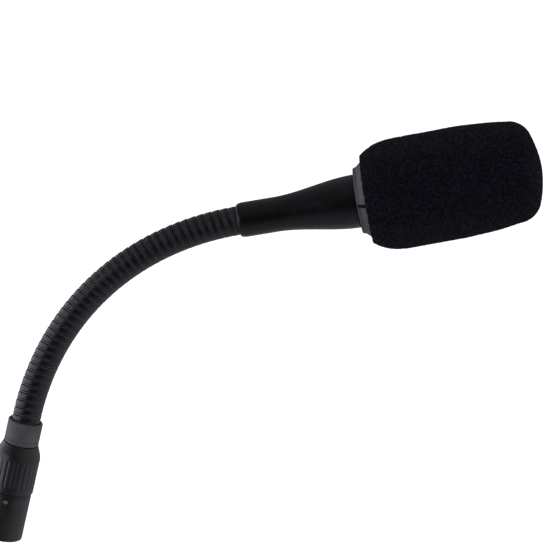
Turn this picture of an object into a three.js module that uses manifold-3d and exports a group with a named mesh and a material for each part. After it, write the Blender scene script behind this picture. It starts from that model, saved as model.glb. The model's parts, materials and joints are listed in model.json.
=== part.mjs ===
// A gooseneck podium microphone: a three-pin plug and barrel, a flexible steel neck and a head with a
// dynamic capsule under a wire basket and a slip-on foam windscreen. Millimetres, +Z up. The origin is
// the centre of the plug's front rim, the plug points down, and the neck bends towards +X.
import * as THREE from 'three';
import { mergeVertices } from 'three/addons/utils/BufferGeometryUtils.js';
import Module from 'manifold-3d';

const wasm = await Module();
wasm.setup();

// clearances
const seat = 0.3; // between two pieces that touch
const slip = 0.4; // round a piece that slides or swings

// plug
const shellRadius = 9.4;
const shellWall = 1.35;
const shellLength = 21.7;
const shellEdge = 0.5; // chamfer of the front rim
const insertDepth = 15; // from the rim to the face that the pins stand on
const insertLength = 8;
const pinRadius = 1.2;
const pinNose = 1.2; // length of a pin's tapered tip
const pinCircle = 4.2;
const pinRecess = 1.4; // of the pin tips behind the rim
const solderCup = 3.5;
const leadReach = 3; // from a solder cup to the cable's end
const leadGather = 0.3; // share of the pin circle at which the leads enter the cable
const keyWidth = 2.6;
const keyDepth = 0.7;
const windowWidth = 4.6;
const windowHeight = 3.4;
const windowPlace = 8; // from the rim to the middle of the latch window
const screwRadius = 1;
const screwRecess = 0.2; // of a screw's outer end below the surface

// neck
const neckRadius = 6.15;
const neckBore = 3.2;
const neckLength = 137.6; // of the flexible run, along its middle
const neckBend = THREE.MathUtils.degToRad(66.5);
const neckSwell = 0.068; // how much more than evenly the neck bends in its middle
const neckJoints = 12;
const neckSides = 14;
const linkTurns = 3; // turns of the winding that one link stands for
const endTurns = 5;
const linkGroove = 0.5;
const linkRelief = THREE.MathUtils.degToRad(10.5); // slope of a link's ends, which lets it swing
const neckGrip = 12; // how far the neck reaches into the sleeve
const neckRise = 1.7; // from the collar's top to the start of the flexible run
const gripRoom = 0.6; // between the neck's foot and the barrel
const cableRadius = 2.2;
const leadRadius = 0.5;

// barrel and collar
const barrelRadius = shellRadius + 0.4;
const barrelLength = 22;
const barrelWall = 1.3;
const barrelTaper = 5;
const barrelEdge = 0.4;
const nutLength = 3;
const chuckLength = 3.5;
const chuckRoom = 1; // between the chuck and the barrel's wall
const collarWall = 1.25;
const collarRadius = neckRadius + seat + collarWall;
const collarLength = 10.3;
const collarRound = 1.5;
const collarEdge = 0.3;
const collarShoulder = 2; // how far the barrel's end reaches inwards under the collar

// head
const sleeveLength = 51.6;
const sleeveWall = 1.3;
const sleeveRearWall = 1.1;
const sleeveRear = neckRadius + seat + sleeveRearWall;
const sleeveFront = 11.5;
const sleeveStraight = 16; // the parallel part, before the sleeve swells
const sleeveRound = 3.2; // length of the rounded rear edge
const sleeveNose = 0.85; // how much narrower the very end is
const headNutLength = 4;
const clampLength = 5;
const cableSpare = 3; // of the cable past its clamp
const basketRadius = 16.5;
const basketWall = 0.6;
const basketLength = 50;
const basketRound = 9;
const frontRise = 1.2; // of the basket's front in its middle
const liningWall = 0.8;
const ringLength = 6;
const ringRear = sleeveFront + 2.6;
const ringFront = basketRadius + 0.4;
const ringRim = 2; // the parallel rim, which the windscreen covers
const ringEdge = 0.35;
const ringHeel = 1.6; // the steep part next to the sleeve
const ventSlots = 4;
const ventWidth = 1.3;
const ventFloor = 1; // depth of a slot at its shallow end, by the sleeve
const spigotLength = 3.2;
const carrierReach = 6; // of the capsule's carrier into the sleeve
const carrierBore = 6.5;
const carrierProud = 1.5; // past the spigot

// capsule
const gripThickness = 2.2;
const gripWidth = 3;
const gripInset = 1; // from the case's ends
const capsuleRadius = basketRadius - basketWall - liningWall - gripThickness - 3 * seat;
const capsuleWall = 0.8;
const capsuleLength = 20;
const capsuleInset = 10; // from the basket's foot to the capsule's back
const yokeRoom = 2.35; // air between the yoke and the case
const yokeWall = 1.8;
const coilGap = 0.4;
const coilWall = 0.45;
const coilLength = 4;
const coilProud = 1; // of the coil past the pole plate
const poleOverhang = 0.3; // of the pole plate past the magnet
const yokeRadius = capsuleRadius - capsuleWall - yokeRoom;
const magnetRadius = yokeRadius - yokeWall - 2 * coilGap - coilWall - poleOverhang;
const magnetLength = 5.6;
const plateThickness = 1.6;
const capThickness = 1.4;
const capHoleRadius = 1.6;
const capHoleCircle = capsuleRadius * 0.53;
const boardThickness = 1.5;
const chamberWall = 0.8;
const chamberFloor = 1;
const chamberReach = 3; // of the rear chamber into the case
const feltThickness = 1.2;
const filmThickness = 0.4;
const domeRise = 2;
const surroundRise = 0.7;

// windscreen
const foamSide = 6.5; // thickness over the basket's wall
const foamNose = 18.7; // thickness over the basket's front
const foamRimWall = 1.2; // at the rear rim, over the ring
const foamRadius = basketRadius + slip + foamSide;
const foamRearRim = ringFront + slip + foamRimWall;
const foamLength = ringRim + spigotLength + basketLength + foamNose + 2 * seat + slip;
const foamSwell = 18; // length of the rear swell
const foamTaper = 2; // how much narrower the front corner begins
const foamCorner = 9.7;
const foamDome = 2.2;

// heights up the plug's axis
const barrelFoot = shellLength + seat;
const collarFoot = barrelFoot + barrelLength + seat;
const collarTop = collarFoot + collarLength;
const neckFoot = collarTop + neckRise;
const pinTop = insertDepth + insertLength + solderCup;
const cableFoot = pinTop + leadReach;
const leadSlant = 0.8; // share of a lead's radius that its slanting end reaches past its middle
const leadTip = seat + leadRadius * leadSlant;
const linkPitch = neckLength / neckJoints;

// distances along the head's axis, from the sleeve's rear end
const headNutFoot = neckGrip + seat;
const clampFoot = headNutFoot + headNutLength + seat;
const cableTop = clampFoot + clampLength + cableSpare;
const ringPlace = sleeveLength + seat;
const ringEnd = ringPlace + ringLength;
const foamPlace = ringEnd - ringRim;
const basketFoot = ringEnd + seat;
const basketPlace = basketFoot + spigotLength + seat;
const basketFront = basketPlace + basketLength;
const capsulePlace = basketPlace + capsuleInset;
const carrierFoot = ringPlace - carrierReach;
const carrierTop = ringEnd + spigotLength + carrierProud;
const boardPlace = carrierTop + seat;

const finish = {
  blackChrome: { color: 0x1c1d20, roughness: 0.38, metalness: 0.8 },
  blackSteel: { color: 0x16171a, roughness: 0.42, metalness: 0.7 },
  softBlack: { color: 0x141416, roughness: 0.35, metalness: 0.05 },
  greyRing: { color: 0x4a4b4f, roughness: 0.45, metalness: 0.2 },
  blackFoam: { color: 0x0e0e14, roughness: 1, metalness: 0 },
  nickel: { color: 0xb8b6ae, roughness: 0.3, metalness: 1 },
  gold: { color: 0xc9a24a, roughness: 0.3, metalness: 1 },
  darkPlastic: { color: 0x242424, roughness: 0.6, metalness: 0 },
  rubber: { color: 0x1a1a1a, roughness: 0.9, metalness: 0 },
  ferrite: { color: 0x3a3a3e, roughness: 0.7, metalness: 0.3 },
  steel: { color: 0x8d8f92, roughness: 0.35, metalness: 1 },
  copper: { color: 0xb0653a, roughness: 0.4, metalness: 1 },
  film: { color: 0xd8d0b8, roughness: 0.3, metalness: 0 },
  felt: { color: 0xcfc8b8, roughness: 1, metalness: 0 },
  board: { color: 0x2d5a3a, roughness: 0.6, metalness: 0 },
  redLead: { color: 0x9a2a24, roughness: 0.5, metalness: 0 },
  whiteLead: { color: 0xd8d8d4, roughness: 0.5, metalness: 0 },
};

// The neck's lean from the vertical, a distance along its middle line from the collar.
function leanAt(along) {
  const share = THREE.MathUtils.clamp(along / neckLength, 0, 1);
  return neckBend * (share - (neckSwell * Math.sin(2 * Math.PI * share)) / (2 * Math.PI));
}

// The point of the neck's middle line at that distance, summed over short steps, and the lean there.
function neckAt(along) {
  const steps = 200;
  const step = along / steps;
  const point = new THREE.Vector3(0, 0, neckFoot);
  for (let i = 0; i < steps; i += 1) {
    const lean = leanAt((i + 0.5) * step);
    point.x += step * Math.sin(lean);
    point.z += step * Math.cos(lean);
  }
  return { lean: leanAt(along), point };
}

// A solid of revolution about Z from [radius, height] points, which run round a closed outline.
function turned(outline, sides = 24) {
  const area = outline.reduce((sum, [r, h], i) => {
    const [nextR, nextH] = outline[(i + 1) % outline.length];
    return sum + r * nextH - nextR * h;
  }, 0);
  const points = outline.map(([r, h]) => new THREE.Vector2(r, h));
  if (area < 0) points.reverse();
  const onAxis = points.findIndex((p, i) => p.x === 0 && points[(i + 1) % points.length].x === 0);
  if (onAxis >= 0) {
    points.push(...points.splice(0, onAxis + 1)); // start and end on the axis
  } else {
    points.push(points[0].clone());
  }
  return new THREE.LatheGeometry(points, sides).rotateX(Math.PI / 2);
}

// The outline of a plain tube, or of a disc when inner is 0.
function band(outer, inner, from, to) {
  return [[inner, from], [outer, from], [outer, to], [inner, to]];
}

// Points of a quarter-like arc in [radius, height], between two angles measured from the +radius way.
function arc(centreR, centreH, radius, fromDegrees, toDegrees, steps) {
  return Array.from({ length: steps + 1 }, (_, i) => {
    const angle = THREE.MathUtils.degToRad(fromDegrees + (toDegrees - fromDegrees) * (i / steps));
    return [centreR + radius * Math.cos(angle), centreH + radius * Math.sin(angle)];
  });
}

// A round wire through a list of points.
function wire(points, radius, steps, halfSides = 4) {
  const section = new THREE.Shape().absarc(0, 0, radius, 0, 2 * Math.PI);
  const path = new THREE.CatmullRomCurve3(points);
  return new THREE.ExtrudeGeometry(section, { extrudePath: path, steps, curveSegments: halfSides });
}

function solidOf(geometry) {
  const bare = geometry.clone();
  bare.deleteAttribute('normal');
  bare.deleteAttribute('uv');
  const merged = mergeVertices(bare, 1e-4);
  return new wasm.Manifold(new wasm.Mesh({
    numProp: 3,
    vertProperties: new Float32Array(merged.attributes.position.array),
    triVerts: new Uint32Array(merged.index.array),
  }));
}

// What is left of one geometry when others are cut from it.
function cut(geometry, ...tools) {
  const left = tools.reduce((solid, tool) => solid.subtract(solidOf(tool)), solidOf(geometry));
  const { vertProperties, triVerts } = left.getMesh();
  const result = new THREE.BufferGeometry();
  result.setAttribute('position', new THREE.BufferAttribute(new Float32Array(vertProperties), 3));
  result.setIndex(new THREE.BufferAttribute(new Uint32Array(triVerts), 1));
  result.computeVertexNormals();
  return result;
}

// A short round bar that lies across the Z axis, from one radius to another, at a height.
function crossBar(radius, fromR, toR, height, turn, sides = 12) {
  const bar = new THREE.CylinderGeometry(radius, radius, toR - fromR, sides);
  bar.rotateZ(-Math.PI / 2).translate((fromR + toR) / 2, 0, height);
  return bar.rotateZ(turn);
}

function put(group, name, geometry, look) {
  const mesh = new THREE.Mesh(geometry, new THREE.MeshStandardMaterial(finish[look]));
  mesh.name = name;
  group.add(mesh);
  return mesh;
}

const back = Math.PI; // turn that faces -X
const leftSide = Math.PI / 2; // turn that faces +Y

function addPlug(group) {
  const inner = shellRadius - shellWall;
  const shell = turned([
    [inner, 0],
    [shellRadius - shellEdge, 0],
    [shellRadius, shellEdge],
    [shellRadius, shellLength],
    [inner, shellLength],
  ], 32);
  const window = new THREE.BoxGeometry(shellWall * 4, windowWidth, windowHeight)
    .translate(shellRadius, 0, windowPlace).rotateZ(leftSide);
  const key = new THREE.BoxGeometry(keyDepth * 2, keyWidth, insertDepth * 2)
    .translate(inner, 0, 0).rotateZ(-leftSide);
  const screwPlace = (insertDepth + shellLength) / 2;
  const holeFrom = inner - shellWall;
  const holeTo = shellRadius + shellWall;
  const screwHole = crossBar(screwRadius + seat, holeFrom, holeTo, screwPlace, -leftSide);
  put(group, 'plug_shell', cut(shell, window, key, screwHole), 'blackChrome');
  const screw = crossBar(screwRadius, inner, shellRadius - screwRecess, screwPlace, -leftSide);
  put(group, 'insert_screw', screw, 'nickel');

  const insert = turned(band(inner - seat, 0, insertDepth, insertDepth + insertLength), 24);
  const holes = [0, 1, 2].map((i) => {
    const turn = (i * 2 * Math.PI) / 3 + leftSide;
    const hole = new THREE.CylinderGeometry(pinRadius + seat, pinRadius + seat, insertLength * 2, 12);
    return hole.rotateX(Math.PI / 2)
      .translate(pinCircle * Math.cos(turn), pinCircle * Math.sin(turn), insertDepth + insertLength / 2);
  });
  put(group, 'plug_insert', cut(insert, ...holes), 'darkPlastic');
  ['redLead', 'whiteLead', 'copper'].forEach((look, i) => addPin(group, i, look));
}

// A pin and the lead that runs from its solder cup to the cable.
function addPin(group, number, leadLook) {
  const turn = (number * 2 * Math.PI) / 3 + leftSide;
  const pin = turned([
    [0, pinRecess],
    [pinRadius * 0.6, pinRecess],
    [pinRadius, pinRecess + pinNose],
    [pinRadius, pinTop],
    [0, pinTop],
  ], 12);
  const out = new THREE.Vector3(Math.cos(turn), Math.sin(turn), 0).multiplyScalar(pinCircle);
  put(group, `pin_${number + 1}`, pin.translate(out.x, out.y, 0), 'gold');
  const at = (share, height) => new THREE.Vector3(out.x * share, out.y * share, height);
  const lead = wire([
    at(1, pinTop + leadTip),
    at((1 + leadGather) / 1.6, pinTop + leadReach / 2),
    at(leadGather, cableFoot - leadTip),
  ], leadRadius, 5, 3);
  put(group, `plug_lead_${number + 1}`, lead, leadLook);
}

function addBarrel(group) {
  const top = barrelFoot + barrelLength;
  const shoulder = top - barrelTaper;
  const inner = barrelRadius - barrelWall;
  const neckHole = collarRadius - collarShoulder;
  const step = (barrelRadius - collarRadius) / 4;
  const barrel = turned([
    [inner, barrelFoot],
    [barrelRadius - barrelEdge, barrelFoot],
    [barrelRadius, barrelFoot + barrelEdge],
    [barrelRadius, shoulder],
    [barrelRadius - step, shoulder + barrelTaper * 0.45],
    [collarRadius + step, top - barrelEdge],
    [collarRadius, top],
    [neckHole, top],
    [neckHole, top - barrelWall],
    [inner, shoulder],
  ], 32);
  put(group, 'base_barrel', barrel, 'blackChrome');

  const nutTop = shoulder - seat;
  const nut = turned(band(inner - seat, neckBore, nutTop - nutLength, nutTop), 24);
  put(group, 'neck_nut', nut, 'nickel');
  const chuckTop = nutTop - nutLength - seat;
  const chuck = turned(band(inner - chuckRoom, cableRadius + seat, chuckTop - chuckLength, chuckTop), 18);
  put(group, 'cable_chuck', chuck, 'darkPlastic');
}

function addCollar(group) {
  const bore = neckRadius + seat;
  const rim = arc(collarRadius - collarRound / 2, collarTop - collarRound, collarRound, 0, 90, 4)
    .filter(([r]) => r < collarRadius);
  const collar = turned([
    [bore, collarFoot],
    [collarRadius - collarEdge, collarFoot],
    [collarRadius, collarFoot + collarEdge],
    [collarRadius, collarTop - collarRound],
    ...rim,
    [bore, collarTop],
  ], 28);
  const screwPlace = (collarFoot + collarTop) / 2;
  const hole = crossBar(screwRadius + seat, neckRadius, collarRadius + collarWall, screwPlace, back);
  put(group, 'neck_collar', cut(collar, hole), 'greyRing');
  const screwTip = neckRadius + screwRecess;
  const screw = crossBar(screwRadius, screwTip, collarRadius - screwRecess / 2, screwPlace, back);
  put(group, 'collar_screw', screw, 'nickel');
}

// The outline of a stretch of winding. A sloped end is cut back so that it can swing about its middle.
function windingOutline(from, to, turns, slopedFoot, slopedTop) {
  const slope = Math.tan(linkRelief);
  const half = seat / 2;
  const rise = (r, sloped) => (sloped ? half + r * slope : 0);
  const foot = (r) => from + rise(r, slopedFoot);
  const top = (r) => to - rise(r, slopedTop);
  const low = neckRadius - linkGroove;
  const pitch = (top(low) - foot(low)) / turns;
  const crest = pitch * 0.2;
  const outer = [];
  for (let i = 0; i < turns; i += 1) {
    const start = foot(low) + i * pitch;
    outer.push([low, start], [neckRadius, start + crest], [neckRadius, start + pitch - crest]);
  }
  outer.push([low, top(low)]);
  return [[neckBore, foot(neckBore)], ...outer, [neckBore, top(neckBore)]];
}

function addNeckEnd(group, name, from, to, turns, slopedFoot) {
  const outline = windingOutline(from, to, turns, slopedFoot, !slopedFoot);
  put(group, name, turned(outline, neckSides), 'blackSteel');
}

function addLinks(root) {
  for (let i = 1; i < neckJoints; i += 1) {
    const start = neckAt((i - 0.5) * linkPitch);
    const end = neckAt((i + 0.5) * linkPitch);
    const chord = end.point.distanceTo(start.point);
    const link = new THREE.Group();
    link.position.copy(start.point);
    link.rotation.y = (start.lean + end.lean) / 2;
    const outline = windingOutline(0, chord, linkTurns, true, true);
    put(link, `neck_link_${String(i).padStart(2, '0')}`, turned(outline, neckSides), 'blackSteel');
    root.add(link);
  }
}

function addCable(root) {
  const from = cableFoot - neckFoot;
  const endAlong = neckLength + cableTop;
  const count = 24;
  const points = Array.from({ length: count + 1 }, (_, i) => {
    return neckAt(from + (endAlong - from) * (i / count)).point;
  });
  put(root, 'audio_cable', wire(points, cableRadius, count), 'rubber');
}

// The sleeve's outer radius a distance from its rear end: parallel, then an S-shaped swell.
function sleeveRadius(along) {
  const swell = THREE.MathUtils.smoothstep(along, sleeveStraight, sleeveLength);
  return sleeveRear + (sleeveFront - sleeveRear) * swell;
}

function addSleeve(group) {
  const rearBore = neckRadius + seat;
  const steps = 9;
  const stations = Array.from({ length: steps + 1 }, (_, i) => {
    return sleeveStraight + (sleeveLength - sleeveStraight) * (i / steps);
  });
  const outer = [
    [sleeveRear - sleeveNose, 0],
    [sleeveRear - sleeveNose / 2, sleeveRound * 0.35],
    [sleeveRear - sleeveNose / 8, sleeveRound * 0.7],
    [sleeveRear, sleeveRound],
    ...stations.map((along) => [sleeveRadius(along), along]),
  ];
  const inner = stations.filter((_, i) => i % 2 === 0 && i > 0).reverse()
    .map((along) => [Math.max(sleeveRadius(along) - sleeveWall, rearBore), along]);
  const mouth = [sleeveFront - sleeveWall, sleeveLength];
  const outline = [...outer, mouth, ...inner, [rearBore, sleeveStraight], [rearBore, 0]];
  const screwPlace = neckGrip * 0.6;
  const hole = crossBar(screwRadius + seat, neckRadius, sleeveRear + sleeveWall, screwPlace, 0);
  put(group, 'head_sleeve', cut(turned(outline), hole), 'softBlack');
  const screw = crossBar(screwRadius, neckRadius + screwRecess, sleeveRear - screwRecess, screwPlace, 0);
  put(group, 'sleeve_screw', screw, 'nickel');
  const nut = turned(band(neckRadius, neckBore, headNutFoot, headNutFoot + headNutLength), 16);
  put(group, 'head_neck_nut', nut, 'nickel');
  const clamp = turned(band(neckRadius, cableRadius + seat, clampFoot, clampFoot + clampLength), 16);
  put(group, 'head_cable_clamp', clamp, 'darkPlastic');
}

function addVentRing(group) {
  const carrierRadius = sleeveRadius(carrierFoot) - sleeveWall - seat;
  const ringBore = carrierRadius + seat;
  const spigot = basketRadius - basketWall - seat;
  const spigotEnd = ringEnd + spigotLength;
  const heel = (ringFront - ringRear) * 0.15;
  const outline = [
    [ringBore, ringPlace],
    [ringRear - ringEdge, ringPlace],
    [ringRear, ringPlace + ringEdge],
    [ringRear + heel, ringPlace + ringHeel],
    [ringFront - ringEdge, foamPlace],
    [ringFront, foamPlace + ringEdge],
    [ringFront, ringEnd],
    [spigot, ringEnd],
    [spigot, spigotEnd],
    [ringBore, spigotEnd],
  ];
  const slots = Array.from({ length: ventSlots }, (_, i) => {
    const reach = ringFront * 2;
    const slot = new THREE.BoxGeometry(reach, ventWidth, foamPlace - ringPlace - 2 * ringEdge);
    return slot.translate(ringRear - ventFloor + reach / 2, 0, (ringPlace + foamPlace) / 2)
      .rotateZ((i * 2 * Math.PI) / ventSlots);
  });
  put(group, 'vent_ring', cut(turned(outline, 28), ...slots), 'greyRing');
  const carrier = turned(band(carrierRadius, carrierBore, carrierFoot, carrierTop), 24);
  put(group, 'capsule_carrier', carrier, 'darkPlastic');
}

// A cup-shaped shell round the head's axis, open at its foot, with a rounded front edge.
function domedCup(radius, wall, foot, front, round) {
  const outer = arc(radius - round, front - round, round, 0, 90, 5);
  const inner = arc(radius - round, front - round, round - wall, 90, 0, 4);
  const tip = front + frontRise;
  return turned([[radius - wall, foot], [radius, foot], ...outer, [0, tip], [0, tip - wall], ...inner]);
}

function addBasket(group) {
  const ring = turned(band(basketRadius, basketRadius - basketWall, basketFoot, basketPlace - seat));
  put(group, 'basket_ring', ring, 'nickel');
  const basket = domedCup(basketRadius, basketWall, basketPlace, basketFront, basketRound);
  put(group, 'grille_basket', basket, 'nickel');
  const inset = basketWall + seat;
  const liningFront = basketFront - inset;
  const lining = domedCup(basketRadius - inset, liningWall, basketPlace, liningFront, basketRound - inset);
  put(group, 'basket_lining', lining, 'blackFoam');
}

// The case with its two rubber grips, and the rear chamber behind it.
function addCapsuleCase(group) {
  const inner = capsuleRadius - capsuleWall;
  const front = capsulePlace + capsuleLength;
  put(group, 'capsule_case', turned(band(capsuleRadius, inner, capsulePlace, front)), 'steel');
  const gripOuter = capsuleRadius + seat + gripThickness;
  const grips = {
    mount_ring_rear: capsulePlace + gripInset,
    mount_ring_front: front - gripInset - gripWidth,
  };
  Object.entries(grips).forEach(([name, at]) => {
    put(group, name, turned(band(gripOuter, capsuleRadius + seat, at, at + gripWidth), 24), 'rubber');
  });

  const radius = inner - seat;
  const chamberFoot = boardPlace + boardThickness + seat;
  const chamberTop = capsulePlace + chamberReach;
  put(group, 'rear_chamber', turned([
    [0, chamberFoot],
    [radius, chamberFoot],
    [radius, chamberTop],
    [radius - chamberWall, chamberTop],
    [radius - chamberWall, chamberFoot + chamberFloor],
    [0, chamberFoot + chamberFloor],
  ], 24), 'darkPlastic');
  put(group, 'terminal_board', turned(band(radius, 0, boardPlace, boardPlace + boardThickness), 20), 'board');
  const feltFoot = chamberTop + seat;
  put(group, 'rear_felt', turned(band(radius, 0, feltFoot, feltFoot + feltThickness), 20), 'felt');
  addMotor(group, feltFoot + feltThickness + seat, radius);
  addFrontCap(group, front + seat);
}

// The magnet in its steel yoke, the coil in the gap between them, and the diaphragm that carries the coil.
function addMotor(group, yokeFoot, filmRadius) {
  const floor = yokeFoot + yokeWall;
  const magnetFoot = floor + seat;
  const plateFoot = magnetFoot + magnetLength + seat;
  const plateTop = plateFoot + plateThickness;
  const poleRadius = magnetRadius + poleOverhang;
  const coilInner = poleRadius + coilGap;
  const coilOuter = coilInner + coilWall;
  const yokeInner = coilOuter + coilGap;
  put(group, 'yoke', turned([
    [0, yokeFoot],
    [yokeInner + yokeWall, yokeFoot],
    [yokeInner + yokeWall, plateTop],
    [yokeInner, plateTop],
    [yokeInner, floor],
    [0, floor],
  ], 24), 'steel');
  put(group, 'magnet', turned(band(magnetRadius, 0, magnetFoot, magnetFoot + magnetLength), 20), 'ferrite');
  put(group, 'pole_plate', turned(band(poleRadius, 0, plateFoot, plateTop), 20), 'steel');
  const coilTop = plateTop + coilProud;
  put(group, 'voice_coil', turned(band(coilOuter, coilInner, coilTop - coilLength, coilTop), 20), 'copper');

  const filmFoot = coilTop + seat;
  const under = [
    [filmRadius, filmFoot],
    [(filmRadius + coilOuter) / 2, filmFoot + surroundRise],
    [coilOuter, filmFoot],
    [coilOuter * 0.6, filmFoot + domeRise * 0.65],
    [0, filmFoot + domeRise],
  ];
  const over = under.map(([r, h]) => [r, h + filmThickness]).reverse();
  put(group, 'diaphragm', turned([...under, ...over], 24), 'film');
}

// A disc with one hole in its middle and six round it.
function addFrontCap(group, foot) {
  const holes = Array.from({ length: 7 }, (_, i) => {
    const radius = i === 0 ? 0 : capHoleCircle;
    const turn = (i * Math.PI) / 3;
    const x = radius * Math.cos(turn);
    const y = radius * Math.sin(turn);
    return new THREE.Path().absarc(x, y, capHoleRadius, 0, 2 * Math.PI);
  });
  const plate = new THREE.Shape().absarc(0, 0, capsuleRadius, 0, 2 * Math.PI);
  plate.holes.push(...holes);
  const extrusion = { depth: capThickness, bevelEnabled: false, curveSegments: 7 };
  const cap = new THREE.ExtrudeGeometry(plate, extrusion);
  put(group, 'front_cap', cap.translate(0, 0, foot), 'darkPlastic');
}

// Two leads from the cable's end to the terminal board, which spread as they go.
function addHeadLeads(group) {
  [['lead_plus', 'redLead', 1], ['lead_minus', 'whiteLead', -1]].forEach(([name, look, side]) => {
    const near = (cableRadius + leadRadius) / 2;
    const lead = wire([
      new THREE.Vector3(0, side * near, cableTop + seat),
      new THREE.Vector3(0, side * near * 2, (cableTop + boardPlace) / 2),
      new THREE.Vector3(0, side * near * 3, boardPlace - seat),
    ], leadRadius, 6, 3);
    put(group, name, lead, look);
  });
}

// The windscreen's outer radius a distance from its rear rim: a swell that eases out, an even stretch
// and, from half way, a slow taper up to the front corner.
function foamSurface(along) {
  const cornerFoot = foamLength - foamDome - foamCorner;
  const swell = Math.max(1 - along / foamSwell, 0) ** 3;
  const taper = Math.max((along - foamLength / 2) / (cornerFoot - foamLength / 2), 0) ** 2;
  return foamRadius - (foamRadius - foamRearRim) * swell - foamTaper * taper;
}

function addWindscreen(group) {
  const tip = foamPlace + foamLength;
  const cornerFoot = foamLength - foamDome - foamCorner;
  const rear = [0, 0.1, 0.25, 0.45, 0.7, 1].map((share) => foamSwell * share);
  const middle = foamLength / 2;
  const front = [0, 0.5, 0.65, 0.82, 1].map((share) => middle + (cornerFoot - middle) * share);
  const side = [...rear, ...front].map((along) => [foamSurface(along), foamPlace + along]);
  const cornerRadius = foamRadius - foamTaper - foamCorner;
  const corner = arc(cornerRadius, foamPlace + cornerFoot, foamCorner, 13, 78, 5);
  const bore = basketRadius + slip;
  const rimBore = ringFront + slip;
  const cavityFront = basketFront + slip;
  const cavity = arc(bore - basketRound, cavityFront - basketRound, basketRound, 90, 0, 4);
  const outline = [
    [rimBore, foamPlace],
    ...side,
    ...corner,
    [foamRadius * 0.3, tip - foamDome * 0.12],
    [0, tip],
    [0, cavityFront + frontRise],
    ...cavity,
    [bore, ringEnd + 1 + seat],
    [rimBore, ringEnd + 2 * seat],
  ];
  put(group, 'foam_windscreen', turned(outline, 28), 'blackFoam');
}

const root = new THREE.Group();
addPlug(root);
addBarrel(root);
addCollar(root);
addNeckEnd(root, 'neck_base_end', collarFoot + gripRoom, neckFoot + linkPitch / 2, endTurns, false);
addLinks(root);
addCable(root);

const head = new THREE.Group();
const neckTop = neckAt(neckLength);
head.position.copy(neckTop.point);
head.rotation.y = neckTop.lean;
root.add(head);
addNeckEnd(head, 'neck_head_end', -linkPitch / 2, neckGrip, endTurns, true);
addSleeve(head);
addVentRing(head);
addBasket(head);
addCapsuleCase(head);
addHeadLeads(head);
addWindscreen(head);

export default root;
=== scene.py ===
import json
import math

import bpy
import numpy as np
from mathutils import Matrix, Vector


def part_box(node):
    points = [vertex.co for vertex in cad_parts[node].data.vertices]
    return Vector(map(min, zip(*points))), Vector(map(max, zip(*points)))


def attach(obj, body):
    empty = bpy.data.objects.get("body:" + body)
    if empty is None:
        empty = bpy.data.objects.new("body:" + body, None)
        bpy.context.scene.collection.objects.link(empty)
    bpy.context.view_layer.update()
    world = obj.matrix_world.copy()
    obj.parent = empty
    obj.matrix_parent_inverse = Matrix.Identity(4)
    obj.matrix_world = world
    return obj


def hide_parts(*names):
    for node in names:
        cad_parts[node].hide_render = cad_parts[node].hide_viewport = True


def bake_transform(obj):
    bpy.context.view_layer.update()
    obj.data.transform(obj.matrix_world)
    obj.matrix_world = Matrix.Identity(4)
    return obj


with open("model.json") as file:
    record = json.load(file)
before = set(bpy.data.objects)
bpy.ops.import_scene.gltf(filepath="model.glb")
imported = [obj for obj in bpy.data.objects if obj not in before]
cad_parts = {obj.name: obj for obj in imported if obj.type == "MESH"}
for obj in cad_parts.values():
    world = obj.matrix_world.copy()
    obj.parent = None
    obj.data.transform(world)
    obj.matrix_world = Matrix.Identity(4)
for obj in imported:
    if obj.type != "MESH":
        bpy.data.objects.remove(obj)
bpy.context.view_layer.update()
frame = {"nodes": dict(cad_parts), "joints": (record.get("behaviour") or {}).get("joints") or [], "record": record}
nodes = frame["nodes"]
mm = 0.001
turn = 2 * math.pi

# the neck's hinges in order, and the bodies that they join
hinges = [joint for joint in frame["joints"] if joint["type"] == "hinge"]
pull = next(joint for joint in frame["joints"] if joint["type"] == "slide")
headAxis = np.array(pull["axis"], float)
upAxis = np.array([0.0, 0.0, 1.0])


# The view.

view = {
    "distance": 0.95,
    "azimuth": 0.695,
    "elevation": 12.763,
    "roll": 13.621,
    "lookAt": (0.09175, 0.0, 0.1452),
    "lens": 143.98,
}
studio = {
    "floorSize": 80.0,
    "floorDrop": 0.03,
    "skyToEye": 1.05,
    "skyToFloor": 1.35,
    "frontGloss": 0.02,
    "backGloss": 0.12,
    "topGloss": 0.15,
    "floorGloss": 0.3,
    "leftGloss": 1.6,
    "rightGloss": 0.45,
}


# One output socket of a node. Sums and products of links add Math nodes, so shader maths reads as sums.
class Link:
    def __init__(self, finish, socket):
        self.finish = finish
        self.socket = socket

    def math(self, operation, first, second=0.0):
        return self.finish.node("Math", {"operation": operation}, {0: first, 1: second})

    def __add__(self, other):
        return self.math("ADD", self, other)

    def __sub__(self, other):
        return self.math("SUBTRACT", self, other)

    def __rsub__(self, other):
        return self.math("SUBTRACT", other, self)

    def __mul__(self, other):
        return self.math("MULTIPLY", self, other)

    def __truediv__(self, other):
        return self.math("DIVIDE", self, other)

    def __pow__(self, other):
        return self.math("POWER", self, other)

    def __lt__(self, other):
        return self.math("LESS_THAN", self, other)

    def __gt__(self, other):
        return self.math("GREATER_THAN", self, other)

    __radd__ = __add__
    __rmul__ = __mul__


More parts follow.
